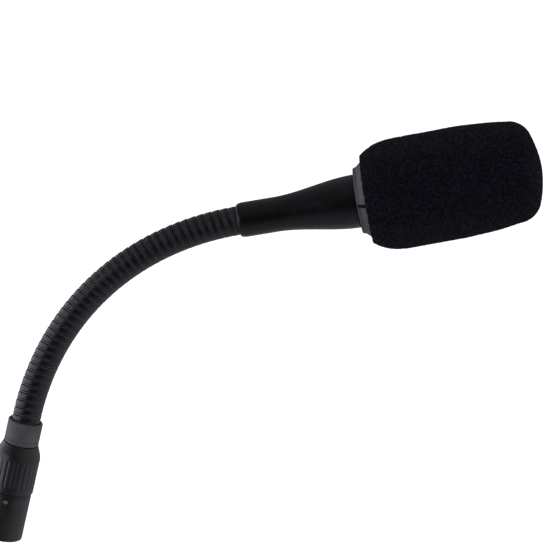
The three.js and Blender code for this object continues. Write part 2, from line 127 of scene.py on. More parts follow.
# A node tree under construction, for a material or for the world.
class Finish:
    def __init__(self, owner):
        owner.use_nodes = True
        self.tree = owner.node_tree
        self.tree.nodes.clear()

    # any node: settings go on it first, then values or links into its sockets by name or number
    def node(self, kind, settings=None, sockets=None, output=0):
        made = self.tree.nodes.new("ShaderNode" + kind)
        for key, value in (settings or {}).items():
            setattr(made, key, value)
        for key, value in (sockets or {}).items():
            if isinstance(value, Link):
                self.tree.links.new(value.socket, made.inputs[key])
            else:
                made.inputs[key].default_value = value
        return Link(self, made.outputs[output]) if made.outputs else None

    # millimetres from the frame's origin
    def place(self):
        here = self.node("TexCoord", output="Object")
        return self.node("VectorMath", {"operation": "SCALE"}, {0: here, "Scale": 1 / mm})

    def noise(self, perMm, detail=2.0, rough=0.5, at=None):
        values = {"Vector": at or self.place(), "Scale": perMm, "Detail": detail, "Roughness": rough}
        return self.node("TexNoise", None, values)

    def cells(self, perMm, feature="F1", at=None):
        return self.node("TexVoronoi", {"feature": feature},
                         {"Vector": at or self.place(), "Scale": perMm}, "Distance")

    def attribute(self, name):
        return self.node("Attribute", {"attribute_name": name}, output="Fac")

    # 0 below low, 1 above high
    def between(self, value, low, high):
        return self.node("MapRange", {"interpolation_type": "SMOOTHSTEP"},
                         {"Value": value, "From Min": low, "From Max": high})

    def mix(self, share, first, second):
        return self.node("Mix", {"data_type": "RGBA"}, {0: share, 6: first, 7: second}, output=2)

    # the Principled shader with its bump, joined to the output
    def surface(self, colour, roughness, metallic=0.0, bump=None, depth=0.0, **fixed):
        values = {"Base Color": colour, "Roughness": roughness, "Metallic": metallic}
        values.update({name.replace("_", " "): value for name, value in fixed.items()})
        if bump is not None:
            values["Normal"] = self.node("Bump", None, {"Height": bump, "Distance": depth, "Strength": 1.0})
        shader = self.node("BsdfPrincipled", None, values)
        self.node("OutputMaterial", None, {"Surface": shader})


def grey(value):
    return (value, value, value, 1.0)


# The camera sits at distance from lookAt, turned by azimuth, raised by elevation and rolled about its view.
def makeCamera():
    azimuth, elevation, roll = (math.radians(view[key]) for key in ("azimuth", "elevation", "roll"))
    back = np.array([math.sin(azimuth) * math.cos(elevation), -math.cos(azimuth) * math.cos(elevation),
                     math.sin(elevation)])
    level = np.cross(upAxis, back)
    level /= np.linalg.norm(level)
    rise = np.cross(back, level)
    right = level * math.cos(roll) + rise * math.sin(roll)
    up = rise * math.cos(roll) - level * math.sin(roll)
    camera = bpy.data.objects.new("camera", bpy.data.cameras.new("camera"))
    camera.data.lens = view["lens"]
    camera.data.clip_start = 0.01
    turned = np.eye(4)
    turned[:3, 0], turned[:3, 1], turned[:3, 2] = right, up, back
    turned[:3, 3] = np.array(view["lookAt"]) + back * view["distance"]
    camera.matrix_world = Matrix(turned.tolist())
    bpy.context.scene.collection.objects.link(camera)
    bpy.context.scene.camera = camera


# White all round to the eye and to matt surfaces. Gloss sees a soft tent: dark at the front, bright at
# the back and at the upper left.
def makeSky():
    bpy.context.scene.world = bpy.data.worlds.new("sky")
    sky = Finish(bpy.context.scene.world)
    way = sky.node("TexCoord", output="Generated")
    parts = sky.node("SeparateXYZ", None, {0: way})
    x, y, z = (Link(sky, parts.socket.node.outputs[i]) for i in range(3))
    behind = sky.between(y, -0.35, 0.9)
    above = sky.between(z, 0.1, 1.0)
    below = sky.between(z * -1, 0.1, 1.0)
    left = sky.between(x * -1, 0.5, 0.82) * (1 - sky.between(z, 0.0, 0.4))
    right = sky.between(x, 0.2, 1.0)
    tent = (studio["frontGloss"] + behind * studio["backGloss"] + above * studio["topGloss"]
            + below * studio["floorGloss"] + left * studio["leftGloss"] + right * studio["rightGloss"])
    path = sky.node("LightPath", output="Is Glossy Ray")
    toEye = sky.node("LightPath", output="Is Camera Ray")
    strength = studio["skyToFloor"] * (1 - toEye) + toEye * studio["skyToEye"]
    strength = strength * (1 - path) + path * tent
    tint = sky.mix(path, grey(1), sky.mix(left, (0.95, 0.88, 1.0, 1.0), (0.86, 0.9, 1.0, 1.0)))
    shade = sky.node("Background", None, {"Color": tint, "Strength": strength})
    sky.node("OutputWorld", None, {"Surface": shade})


def makeFloor():
    half = studio["floorSize"] / 2
    mesh = bpy.data.meshes.new("floor")
    corners = [(-half, -half), (half, -half), (half, half), (-half, half)]
    mesh.from_pydata([(x, y, -studio["floorDrop"]) for x, y in corners], [], [(0, 1, 2, 3)])
    paper = bpy.data.materials.new("paper")
    made = Finish(paper)
    fleck = made.noise(0.05, 4.0)
    made.surface(made.mix(fleck, grey(0.9), grey(0.93)), 1.0, bump=fleck, depth=0.0001,
                 Specular_IOR_Level=0.0)
    mesh.materials.append(paper)
    floor = bpy.data.objects.new("floor", mesh)
    bpy.context.scene.collection.objects.link(floor)
    floor.visible_glossy = False


def makeLight(name, at, aim, size, power, tint=(1.0, 1.0, 1.0)):
    lamp = bpy.data.lights.new(name, "AREA")
    lamp.shape = "RECTANGLE"
    lamp.size, lamp.size_y = size
    lamp.energy = power
    lamp.color = tint
    made = bpy.data.objects.new(name, lamp)
    bpy.context.scene.collection.objects.link(made)
    back = np.array(at, float) - np.array(aim, float)
    back /= np.linalg.norm(back)
    across = np.cross(upAxis, back)
    across /= np.linalg.norm(across)
    turned = np.eye(4)
    turned[:3, 0], turned[:3, 1], turned[:3, 2] = across, np.cross(back, across), back
    turned[:3, 3] = at
    made.matrix_world = Matrix(turned.tolist())


makeCamera()
makeSky()
makeFloor()
aim = view["lookAt"]
makeLight("frontTop", (0.35, -0.9, 0.9), aim, (0.5, 0.5), 0.15)
bpy.context.scene.view_settings.view_transform = "Standard"
print("stage: camera, sky, floor and lights")


# Finishes, one for each slot of the record.

# moulded or plated stock finishes: colour, how rough, how metallic, grain size and depth in mm
stock = {
    "black_chrome": {"colour": (0.006, 0.006, 0.007), "rough": 0.3, "metal": 0.0, "grain": 0.25,
                     "depth": 0.004},
    "grey_collar": {"colour": (0.03, 0.03, 0.033), "rough": 0.55, "metal": 0.0, "grain": 0.3, "depth": 0.012},
    "nickel": {"colour": (0.55, 0.53, 0.49), "rough": 0.28, "metal": 1.0, "grain": 0.6, "depth": 0.003},
    "dark_plastic": {"colour": (0.02, 0.02, 0.021), "rough": 0.55, "metal": 0.0, "grain": 0.3, "depth": 0.01},
    "gold_pin": {"colour": (0.72, 0.48, 0.17), "rough": 0.25, "metal": 1.0, "grain": 0.5, "depth": 0.002},
    "lead_red": {"colour": (0.32, 0.025, 0.018), "rough": 0.45, "metal": 0.0, "grain": 0.5, "depth": 0.004},
    "lead_white": {"colour": (0.62, 0.62, 0.58), "rough": 0.45, "metal": 0.0, "grain": 0.5, "depth": 0.004},
    "copper": {"colour": (0.58, 0.24, 0.11), "rough": 0.35, "metal": 1.0, "grain": 0.2, "depth": 0.006},
    "rubber": {"colour": (0.011, 0.011, 0.012), "rough": 0.75, "metal": 0.0, "grain": 0.4, "depth": 0.01},
    "steel": {"colour": (0.42, 0.42, 0.43), "rough": 0.35, "metal": 1.0, "grain": 0.3, "depth": 0.004},
    "ferrite": {"colour": (0.045, 0.045, 0.05), "rough": 0.7, "metal": 0.0, "grain": 0.25, "depth": 0.015},
    "film": {"colour": (0.62, 0.54, 0.38), "rough": 0.25, "metal": 0.0, "grain": 1.0, "depth": 0.003},
    "felt": {"colour": (0.52, 0.48, 0.4), "rough": 1.0, "metal": 0.0, "grain": 0.15, "depth": 0.06},
    "board": {"colour": (0.025, 0.11, 0.045), "rough": 0.4, "metal": 0.0, "grain": 0.4, "depth": 0.006},
}


# A stock finish: fine grain in the bump, broad mottle in the gloss and a little of both in the colour.
def stockFinish(slot, kind):
    material = bpy.data.materials.new(slot)
    made = Finish(material)
    place = made.place()
    grain = made.noise(1 / kind["grain"], 3.0, 0.6, place)
    mottle = made.noise(0.12, 3.0, 0.5, place)
    light = [min(1.0, channel * 1.25) for channel in kind["colour"]] + [1.0]
    dark = [channel * 0.8 for channel in kind["colour"]] + [1.0]
    colour = made.mix(made.between(mottle * 0.7 + grain * 0.3, 0.35, 0.65), dark, light)
    rough = kind["rough"] + (mottle - 0.5) * 0.12 + (grain - 0.5) * 0.08
    made.surface(colour, rough, kind["metal"], grain, kind["depth"] * mm)
    return material


# Semi-gloss black moulding: shallow ripple from the tool, fine matt specks and soft handling marks.
def satinBlack():
    material = bpy.data.materials.new("satin_black")
    made = Finish(material)
    place = made.place()
    ripple = made.noise(0.18, 2.0, 0.4, place)
    speck = made.noise(4.0, 3.0, 0.6, place)
    marks = made.between(made.noise(0.35, 5.0, 0.7, place), 0.5, 0.75)
    colour = made.mix(marks, (0.0013, 0.0008, 0.0013, 1.0), (0.0026, 0.0016, 0.0026, 1.0))
    rough = 0.26 + marks * 0.1 + (speck - 0.5) * 0.08
    made.surface(colour, rough, bump=ripple + speck * 0.012, depth=0.05 * mm)
    return material


# Black oxide steel strip: brighter and a little metallic along the rims of each band, a painted highlight with
# some wear, and painted shade in the grooves and the bore.
def neckSteel():
    material = bpy.data.materials.new("neck_winding")
    made = Finish(material)
    place = made.place()
    blotch = made.noise(0.25, 4.0, 0.6, place)
    grain = made.noise(5.0, 3.0, 0.6, place)
    # painted highlight with some wear: the band beside each groove, broken up by noise
    rim = made.attribute("rim") * made.between(made.noise(0.8, 3.0, 0.6, place), 0.3, 0.6)
    # painted shade in the grooves, the seams and the bore
    groove = made.attribute("groove")
    body = made.mix(blotch, (0.001, 0.0009, 0.0016, 1.0), (0.0022, 0.0019, 0.0034, 1.0))
    rim_wear_and_highlight = made.mix(rim, body, (0.05, 0.047, 0.056, 1.0))
    colour = made.mix(groove, rim_wear_and_highlight, (0.0015, 0.0015, 0.002, 1.0))
    rough = 0.3 + (blotch - 0.5) * 0.16 + (grain - 0.5) * 0.08 + groove * 0.4
    made.surface(colour, rough, rim * 0.35, grain, 0.006 * mm)
    return material


# Open-cell foam: painted shade in the pores, and thin strands painted lighter as if they catch a little light,
# mixed with random tone.
def openFoam():
    material = bpy.data.materials.new("foam")
    made = Finish(material)
    place = made.place()
    wander = made.noise(0.9, 3.0, 0.6, place)
    strands = 1 - made.between(made.cells(1.5, "DISTANCE_TO_EDGE", place), 0.0, 0.22)
    fine = made.noise(3.2, 3.0, 0.7, place)
    # painted highlight on the strands, mixed with broad random tone
    lit = made.between(strands * 0.4 + fine * 0.4 + wander * 0.9, 0.72, 1.2)
    # painted shade in the pores and on the cavity wall
    pore_shade = made.attribute("pore")
    colour = made.mix(lit, (0.0004, 0.0003, 0.0014, 1.0), (0.0105, 0.009, 0.0215, 1.0))
    colour = made.mix(pore_shade, colour, (0.0007, 0.0006, 0.0014, 1.0))
    made.surface(colour, 1.0, bump=strands * 0.6 + fine, depth=0.35 * mm, Specular_IOR_Level=0.06,
                 Sheen_Weight=0.015)
    return material


finishes = {slot: stockFinish(slot, kind) for slot, kind in stock.items()}
finishes["satin_black"] = satinBlack()
finishes["neck_winding"] = neckSteel()
finishes["foam"] = openFoam()
for part in frame["record"]["subparts"]:
    mesh = nodes[part["node"]].data
    mesh.materials.clear()
    mesh.materials.append(finishes[part["material_slot"]])
print("finishes:", len(finishes))


# Surfaces.

# A mesh from a grid of points, rows by columns. Columns close on themselves, and so do rows if looped.
# A pole is the point that closes an open end. Faces are turned over if they enclose less than nothing.
def gridPiece(name, points, slot, looped=False, poles=(None, None), sharp=40, values=None):
    rows, columns = points.shape[:2]
    index = np.arange(rows * columns).reshape(rows, columns)
    low = index if looped else index[:-1]
    high = np.roll(index, -1, axis=0) if looped else index[1:]
    quads = np.stack([low, np.roll(low, -1, 1), np.roll(high, -1, 1), high], -1).reshape(-1, 4)
    vertices = [points.reshape(-1, 3)]
    fans = []
    for pole, ring in zip(poles, (np.roll(index[0], -1)[::-1], index[-1])):
        if pole is not None:
            middle = rows * columns + len(fans)
            fans.append(np.stack([ring, np.roll(ring, -1), np.full(columns, middle)], -1))
            vertices.append(np.array([pole], float))
    vertices = np.concatenate(vertices)
    triangles = np.concatenate([quads[:, [0, 1, 2]], quads[:, [0, 2, 3]]] + fans)
    a, b, c = (vertices[triangles[:, i]] for i in range(3))
    if np.einsum("ij,ij->", a, np.cross(b, c)) < 0:
        quads = quads[:, ::-1]
        fans = [fan[:, ::-1] for fan in fans]
    mesh = bpy.data.meshes.new(name)
    corners = np.concatenate([quads.ravel()] + [fan.ravel() for fan in fans]).astype(np.int32)
    sizes = np.concatenate([np.full(len(quads), 4)] + [np.full(len(fan), 3) for fan in fans])
    mesh.vertices.add(len(vertices))
    mesh.vertices.foreach_set("co", vertices.astype(np.float32).ravel())
    mesh.loops.add(len(corners))
    mesh.loops.foreach_set("vertex_index", corners)
    mesh.polygons.add(len(sizes))
    mesh.polygons.foreach_set("loop_start", np.concatenate([[0], np.cumsum(sizes)[:-1]]).astype(np.int32))
    mesh.polygons.foreach_set("use_smooth", np.ones(len(sizes), bool))
    mesh.update(calc_edges=True)
    mesh.validate()
    mesh.set_sharp_from_angle(angle=math.radians(sharp))
    for key, value in (values or {}).items():
        spread = np.concatenate([value.ravel(), np.zeros(len(vertices) - value.size)])
        mesh.attributes.new(key, "FLOAT", "POINT").data.foreach_set("value", spread.astype(np.float32))
    mesh.materials.append(finishes[slot])
    piece = bpy.data.objects.new(name, mesh)
    bpy.context.scene.collection.objects.link(piece)
    return piece


def smooth(value, low, high):
    t = np.clip((value - low) / (high - low), 0, 1)
    return t * t * (3 - 2 * t)


# An outline whose corners, (radius, height, rounding), are eased: a parabola runs from that far before
# the corner to that far after it.
def eased(corners, steps=6):
    outline = []
    t = np.linspace(0, 1, steps + 1)[:, None]
    for i, (radius, height, rounding) in enumerate(corners):
        here = np.array([radius, height], float)
        if rounding == 0:
            outline.append(here[None])
            continue
        ways = [np.array(corners[j][:2], float) - here for j in (i - 1, (i + 1) % len(corners))]
        ends = [here + way / np.linalg.norm(way) * rounding for way in ways]
        outline.append((1 - t) ** 2 * ends[0] + 2 * t * (1 - t) * here + t ** 2 * ends[1])
    return np.concatenate(outline)


# The same outline with points a given distance apart, measured along it.
def spaced(outline, gap):
    along = np.concatenate([[0], np.cumsum(np.linalg.norm(np.diff(outline, axis=0), axis=1))])
    at = np.linspace(0, along[-1], int(along[-1] / gap) + 1)
    return np.stack([np.interp(at, along, outline[:, i]) for i in range(2)], -1)


# Points of a turned surface: foot + height * axis + radius * (cos a * across + sin a * Y), in millimetres.
def turnedPoints(outline, foot, axis, angles, shape=None):
    across = np.array([axis[2], 0.0, -axis[0]])
    radius = np.broadcast_to(outline[:, 0:1], (len(outline), len(angles)))
    height = np.broadcast_to(outline[:, 1:2], radius.shape)
    angle = np.broadcast_to(angles[None], radius.shape)
    if shape:
        radius, height = shape(radius, height, angle)
    round_ = np.cos(angle)[..., None] * across + np.sin(angle)[..., None] * np.array([0.0, 1.0, 0.0])
    return foot + mm * (height[..., None] * axis + radius[..., None] * round_)


# A turned piece. An outline that starts or ends on the axis is closed there by a pole; any other one
# closes on itself.
def turnedPiece(name, outline, foot, axis, slot, sides=96, shape=None, sharp=40):
    outline = np.array(outline, float)
    ends = [foot + mm * outline[i, 1] * axis if outline[i, 0] == 0 else None for i in (0, -1)]
    body = outline[(1 if ends[0] is not None else 0):(-1 if ends[1] is not None else None)]
    angles = np.arange(sides) * turn / sides
    points = turnedPoints(body, foot, axis, angles, shape)
    looped = ends[0] is None and ends[1] is None
    return gridPiece(name, points, slot, looped, ends, sharp)


# What is left of a piece when others are cut from it.
def cutFrom(piece, *tools):
    for tool in tools:
        cutter = piece.modifiers.new("cut", "BOOLEAN")
        cutter.operation, cutter.solver, cutter.object = "DIFFERENCE", "EXACT", tool
    scene = bpy.context.evaluated_depsgraph_get()
    mesh = bpy.data.meshes.new_from_object(piece.evaluated_get(scene))
    piece.modifiers.clear()
    piece.data = mesh
    mesh.set_sharp_from_angle(angle=math.radians(30))
    for tool in tools:
        bpy.data.objects.remove(tool)
    return piece


# A box with its centre and sides in millimetres, for cutting.
def boxTool(centre, size):
    x, y, z = (np.array([-0.5, 0.5]) * side for side in size)
    corners = np.array([[x[i], y[j], z[k]] for k in (0, 1) for i, j in ((0, 0), (1, 0), (1, 1), (0, 1))])
    points = mm * (corners + np.array(centre)).reshape(2, 4, 3)
    return gridPiece("tool", points, "steel", poles=(points[0].mean(0), points[1].mean(0)))


# The plug, barrel and collar, turned about the frame's Z axis.

origin = np.zeros(3)
plug = {
    "radius": 9.4, "wall": 1.35, "length": 21.7, "insertDepth": 15, "insertLength": 8,
    "pinRadius": 1.2, "pinCircle": 4.2, "pinRecess": 1.4, "solderCup": 3.5,
    "keyWidth": 2.6, "keyDepth": 0.7, "windowWidth": 4.6, "windowHeight": 3.4, "windowPlace": 8,
    "screwRadius": 1.0, "gap": 0.3,
}


def crossScrew(name, centre, way, axis, radius, length, node, body):
    # a slotless socket-head screw seen end on: a domed rim round a six-sided socket
    across = np.array(way, float)
    head = [(0, -0.9, 0), (radius * 0.52, -0.9, 0.05), (radius * 0.56, 0, 0.06), (radius, 0, 0.22),
            (radius, -length, 0.1), (0, -length, 0)]
    outline = eased(head)
    side = np.cross(axis, across)
    angles = np.arange(36) * turn / 36
    hexagon = np.cos(math.pi / 6) / np.cos((angles + math.pi / 6) % (math.pi / 3) - math.pi / 6)
    inner = np.arange(len(outline))[:, None] < 9
    radii = outline[:, 0:1] * np.where(inner, hexagon[None], 1.0)
    points = (np.array(centre) + mm * (outline[:, 1, None, None] * across
              + radii[..., None] * (np.cos(angles)[:, None] * np.array(axis)
                                    + np.sin(angles)[:, None] * side)))
    ends = [points[0].mean(0), points[-1].mean(0)]
    piece = gridPiece(name, points[1:-1], "nickel", poles=ends, sharp=30)
    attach(piece, body)
    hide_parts(node)


def makePlug():
    outer, inner, length = plug["radius"], plug["radius"] - plug["wall"], plug["length"]
    shell = turnedPiece("plug_shell_turned", eased([
        (inner, 0, 0.25), (outer, 0, 0.5), (outer, 1.6, 0), (outer, length - 1.2, 0.1),
        (outer - 0.25, length - 1.0, 0.1), (outer - 0.25, length - 0.6, 0.1), (outer, length - 0.4, 0.1),
        (outer, length, 0.15), (inner, length, 0.15), (inner, 1.6, 0),
    ]), origin, upAxis, "black_chrome", 128)
    window = boxTool((0, outer, plug["windowPlace"]),
                     (plug["windowWidth"], plug["wall"] * 4, plug["windowHeight"]))
    key = boxTool((0, -inner, 0), (plug["keyWidth"], plug["keyDepth"] * 2, plug["insertDepth"] * 2))
    screwHeight = (plug["insertDepth"] + length) / 2
    hole = turnedPiece("tool", [(0, -2), (plug["screwRadius"] + 0.3, -2),
                                (plug["screwRadius"] + 0.3, 4), (0, 4)],
                       np.array([0, -outer, screwHeight]) * mm, np.array([0.0, 0.0, 1.0]), "steel", 32)
    hole.data.transform(Matrix.Translation((0, -outer * mm, screwHeight * mm))
                        @ Matrix.Rotation(math.pi / 2, 4, "X")
                        @ Matrix.Translation((0, outer * mm, -screwHeight * mm)))
    cutFrom(shell, window, key, hole)
    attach(shell, "base")
    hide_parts("plug_shell")
    crossScrew("insert_screw_head", np.array([0, -(outer - 0.2), screwHeight]) * mm, (0, -1, 0), (0, 0, 1),
               plug["screwRadius"], 1.0, "insert_screw", "base")

    face, back = plug["insertDepth"], plug["insertDepth"] + plug["insertLength"]
    rim = inner - plug["gap"]
    insert = turnedPiece("plug_insert_moulded", eased([
        (0, face, 0), (rim - 1.2, face, 0.1), (rim - 1.1, face + 0.35, 0.1), (rim - 0.6, face + 0.35, 0.1),
        (rim - 0.5, face, 0.1), (rim, face, 0.3), (rim, back, 0.3), (0, back, 0),
    ]), origin, upAxis, "dark_plastic", 96)
    tools = []
    pins = []
    for i in range(3):
        angle = turn * i / 3 + turn / 4
        foot = mm * plug["pinCircle"] * np.array([math.cos(angle), math.sin(angle), 0])
        tools.append(turnedPiece("tool", [(0, face - 2), (plug["pinRadius"] + 0.3, face - 2),
                                          (plug["pinRadius"] + 0.3, back + 2), (0, back + 2)],
                                 foot, upAxis, "steel", 32))
        radius, tip = plug["pinRadius"], plug["pinRecess"]
        top = back + plug["solderCup"]
        nose = [(radius * math.sin(a), tip + radius * (1 - math.cos(a))) for a in np.linspace(0, turn / 4, 9)]
        cup = [(radius, face - 1), (radius, top - 0.15), (radius - 0.15, top), (radius - 0.4, top),
               (radius - 0.4, top - 2), (0, top - 2.4)]
        pin = turnedPiece(f"pin_{i + 1}_turned", nose + cup, foot, upAxis, "gold_pin", 40)
        pins.append(pin)
        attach(pin, "base")
        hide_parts(f"pin_{i + 1}")
    cutFrom(insert, *tools)
    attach(insert, "base")
    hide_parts("plug_insert")


barrel = {"radius": 9.8, "length": 22, "wall": 1.3, "taper": 5, "grips": 24, "gripDepth": 0.22, "gripSoft": 0.5}
collar = {"radius": 7.7, "length": 10.3, "recess": 1.6, "rim": 0.75}


# The barrel: a waisted grip with shallow flutes, then an eased taper up to the collar.
def makeBarrel():
    foot = plug["length"] + plug["gap"]
    top = foot + barrel["length"]
    shoulder = top - barrel["taper"]
    outer, inner = barrel["radius"], barrel["radius"] - barrel["wall"]
    gripFoot, gripTop = foot + 3.2, shoulder - 1.6
    rise = np.linspace(gripFoot - 0.8, gripTop + 0.8, 48)
    side = [(outer, foot, 0.4)] + [(outer, height, 0) for height in rise]
    outline = eased(side[:1] + side[1:] + [
        (outer, shoulder, 1.6), (collar["radius"] + 0.35, top - 0.7, 0.6), (collar["radius"] + 0.1, top, 0.2),
        (collar["radius"] - 2, top, 0.1), (collar["radius"] - 2, top - barrel["wall"], 0.1),
        (inner, shoulder, 0.8), (inner, foot, 0.2),
    ])

    def flutes(radius, height, angle):
        soft = barrel["gripSoft"]
        inGrip = smooth(height, gripFoot - soft, gripFoot + soft)
        inGrip = inGrip * smooth(-height, -gripTop - soft, -gripTop + soft)
        inGrip = inGrip * (radius > outer - 0.01)
        wave = np.abs(np.cos(angle * barrel["grips"] / 2)) ** 8
        return radius - barrel["gripDepth"] * wave * inGrip, height

    piece = turnedPiece("base_barrel_turned", outline, origin, upAxis, "black_chrome", 288, flutes)
    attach(piece, "base")
    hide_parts("base_barrel")


# The collar: a cup whose rounded rim stands round the neck, with a dark recess between.
def makeCollar():
    foot = plug["length"] + 2 * plug["gap"] + barrel["length"]
    top = foot + collar["length"]
    outer, bore = collar["radius"], neck["radius"] + 0.3
    rim, floor = collar["rim"], top - collar["recess"]
    piece = turnedPiece("neck_collar_turned", eased([
        (bore, foot, 0.1), (outer, foot, 0.3), (outer, foot + 1.4, 0.12), (outer - 0.22, foot + 1.6, 0.1),
        (outer - 0.22, foot + 2.1, 0.1), (outer, foot + 2.3, 0.12), (outer, top, 0.8),
        (outer - rim - 0.5, top, 0.35), (outer - rim - 0.55, floor, 0.15), (bore, floor, 0.1),
    ]), origin, upAxis, "grey_collar", 128)
    centre = np.array([-outer, 0, (foot + top) / 2]) * mm
    hole = turnedPiece("tool", [(0, -1), (1.3, -1), (1.3, 2), (0, 2)], origin, upAxis, "steel", 32)
    hole.data.transform(Matrix.Translation(centre.tolist()) @ Matrix.Rotation(math.pi / 2, 4, "Y"))
    cutFrom(piece, hole)
    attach(piece, "base")
    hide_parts("neck_collar")
    crossScrew("collar_screw_head", centre + np.array([0.15 * mm, 0, 0]), (-1, 0, 0), (0, 0, 1), 1.0, 1.2,
               "collar_screw", "base")


# The neck, wound from a pair of steel wires.

neck = {
    "radius": 6.15, "bore": 3.2, "length": 137.6, "swell": 0.068, "bands": 40, "starts": 2, "grip": 12,
    "rise": 1.7,
    "proud": 0.12, "groove": 0.36, "grooveWidth": 0.08, "seam": 0.2, "seamPlace": 0.3, "crown": 0.06,
    "tilt": 0.12, "rowsPerBand": 32, "columns": 96,
    "cableRadius": 2.2, "cableFoot": 29.5, "cableReach": 24.6,
}
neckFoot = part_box("neck_collar")[1].z / mm + neck["rise"]
neckBend = math.atan2(headAxis[0], headAxis[2])
tableAlong = np.linspace(0, neck["length"], 2001)
tableShare = tableAlong / neck["length"]
tableLean = neckBend * (tableShare - neck["swell"] * np.sin(turn * tableShare) / turn)
midLean = (tableLean[1:] + tableLean[:-1]) / 2
tableX = np.concatenate([[0], np.cumsum(np.sin(midLean))]) * tableAlong[1]
tableZ = np.concatenate([[0], np.cumsum(np.cos(midLean))]) * tableAlong[1] + neckFoot


# The neck's middle line in millimetres, straight on past both ends, and the direction across it.
def neckAt(along):
    inside = np.clip(along, 0, neck["length"])
    past = (along - inside)[..., None]
    lean = np.interp(inside, tableAlong, tableLean)
    level = np.zeros_like(lean)
    way = np.stack([np.sin(lean), level, np.cos(lean)], -1)
    across = np.stack([np.cos(lean), level, -np.sin(lean)], -1)
    place = np.stack([np.interp(inside, tableAlong, tableX), level,
                      np.interp(inside, tableAlong, tableZ)], -1)
    return place + past * way, across


headFoot = neckAt(np.array(float(neck["length"])))[0] * mm


def aroundNeck(along, radius, angle):
    place, across = neckAt(along)
    side = np.cos(angle)[..., None] * across + np.sin(angle)[..., None] * np.array([0.0, 1.0, 0.0])
    return mm * (place + radius[..., None] * side)


# How far the winding stands out. The phase runs 0 to 1 across each band, along the neck and back round it,
# so the bands climb as a right-hand screw. A groove lies at 0 and a shallower seam at seamPlace, the two
# sides of the narrow wire that is wound between turns of the wide one. The bands are a little crowned, and
# lie tilted in the bend, low on one side and proud on the other.
def windingShape(along, angle):
    pitch = neck["length"] / neck["bands"]
    phase = (along / pitch - neck["starts"] * angle / turn) % 1
    fromGroove = np.minimum(phase, 1 - phase)
    groove = 1 - smooth(fromGroove, neck["grooveWidth"] * 0.35, neck["grooveWidth"])
    seam = 1 - smooth(np.abs(phase - neck["seamPlace"]), 0.01, neck["grooveWidth"] * 0.8)
    # rim: the band beside each groove, which the finish paints with a highlight and some wear
    rim = smooth(fromGroove, 0.06, 0.1) * (1 - smooth(fromGroove, 0.12, 0.17))
    crown = neck["crown"] * (2 * phase - 1) ** 4
    tilt = neck["tilt"] * np.cos(angle) * (0.5 - phase)
    radius = neck["radius"] + neck["proud"] - crown + tilt - neck["groove"] * groove - neck["seam"] * seam
    # the second value, grooves and seams, takes painted shade in the finish
    return radius, np.maximum(groove, seam * 0.7), rim


def windingPiece(name, start, end, nodeNames):
    pitch = neck["length"] / neck["bands"]
    rows = int((end - start) / pitch * neck["rowsPerBand"]) + 2
    out = np.linspace(start, end, rows)
    back = np.linspace(end, start, rows // 6)
    along, angle = np.meshgrid(out, np.arange(neck["columns"]) * turn / neck["columns"], indexing="ij")
    radius, groove, rim = windingShape(along, angle)
    alongBack = np.broadcast_to(back[:, None], (len(back), neck["columns"]))
    bore = np.full(alongBack.shape, float(neck["bore"]))
    plain = np.zeros(alongBack.shape)
    points = aroundNeck(np.concatenate([along, alongBack]), np.concatenate([radius, bore]),
                        np.concatenate([angle, np.broadcast_to(angle[:1], alongBack.shape)]))
    # the bore is marked as groove all over, so it takes full painted shade
    values = {"groove": np.concatenate([groove, plain + 1]), "rim": np.concatenate([rim, plain])}
    piece = gridPiece(name, points, "neck_winding", looped=True, sharp=60, values=values)
    for nodeName in nodeNames:
        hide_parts(nodeName)
    return piece


def cablePiece(name, start, end):
    along, angle = np.meshgrid(np.linspace(start, end, 13), np.arange(24) * turn / 24, indexing="ij")
    points = aroundNeck(along, np.full(along.shape, neck["cableRadius"]), angle)
    piece = gridPiece(name, points, "rubber", poles=(points[0].mean(0), points[-1].mean(0)))
    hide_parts("audio_cable")
    return piece


# Twelve lengths of winding and cable, each with the hinge at its middle, and a gripped end on
# the base and on the head.
def makeNeck():
    count = len(hinges)
    step = neck["length"] / count
    for i in range(count):
        start, end = i * step, (i + 1) * step
        standsFor = [f"neck_link_{i:02d}"] if i else ["neck_base_end"]
        ends = [neckAt(np.array(float(s)))[0] * mm for s in (start, end)]
        for piece in (windingPiece(f"neck_winding_{i + 1:02d}", start, end, standsFor),
                      cablePiece(f"neck_cable_{i + 1:02d}", start, end)):
            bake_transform(piece)
    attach(windingPiece("neck_winding_foot", -neck["grip"] + 0.6, 0, ["neck_base_end"]), "base")
    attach(windingPiece("neck_winding_top", neck["length"], neck["length"] + neck["grip"],
                         ["neck_head_end"]), "head")
    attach(cablePiece("neck_cable_foot", neck["cableFoot"] - neckFoot, 0), "base")
    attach(cablePiece("neck_cable_top", neck["length"], neck["length"] + neck["cableReach"]), "head")


# The head, turned about its own axis from the sleeve's rear end.

sleeve = {
    "length": 51.6, "rear": 7.55, "front": 11.5, "straight": 16, "wall": 1.3, "round": 3.0,
    "nose": 0.85, "screwPlace": 7.2,
    "edge": 0.25, "bevel": 0.3, "holeRadius": 1.3,
}
ring = {
    "length": 6.0, "rear": 14.1, "front": 16.9, "rim": 2.0, "bore": 9.9, "spigot": 3.2,
    "slots": 4, "slotWidth": 1.3, "slotFloor": 1.0,
    "slotFoot": (0.3, 0.5), "slotTop": (0.2, 0.4), "slotSoft": 0.1, "slotReach": 0.5,
}
basket = {
    "radius": 16.5, "length": 50, "round": 9, "wireRadius": 0.24, "wires": 52, "rows": 26,
}
# Between two pieces of the head that touch.
seat = 0.3
ringPlace = sleeve["length"] + seat
ringEnd = ringPlace + ring["length"]
basketFoot = ringEnd + seat
basketPlace = basketFoot + ring["spigot"] + seat


# The sleeve's radius: even, then an S-shaped swell.
def sleeveRadius(along):
    swell = smooth(along, sleeve["straight"], sleeve["length"])
    return sleeve["rear"] + (sleeve["front"] - sleeve["rear"]) * swell


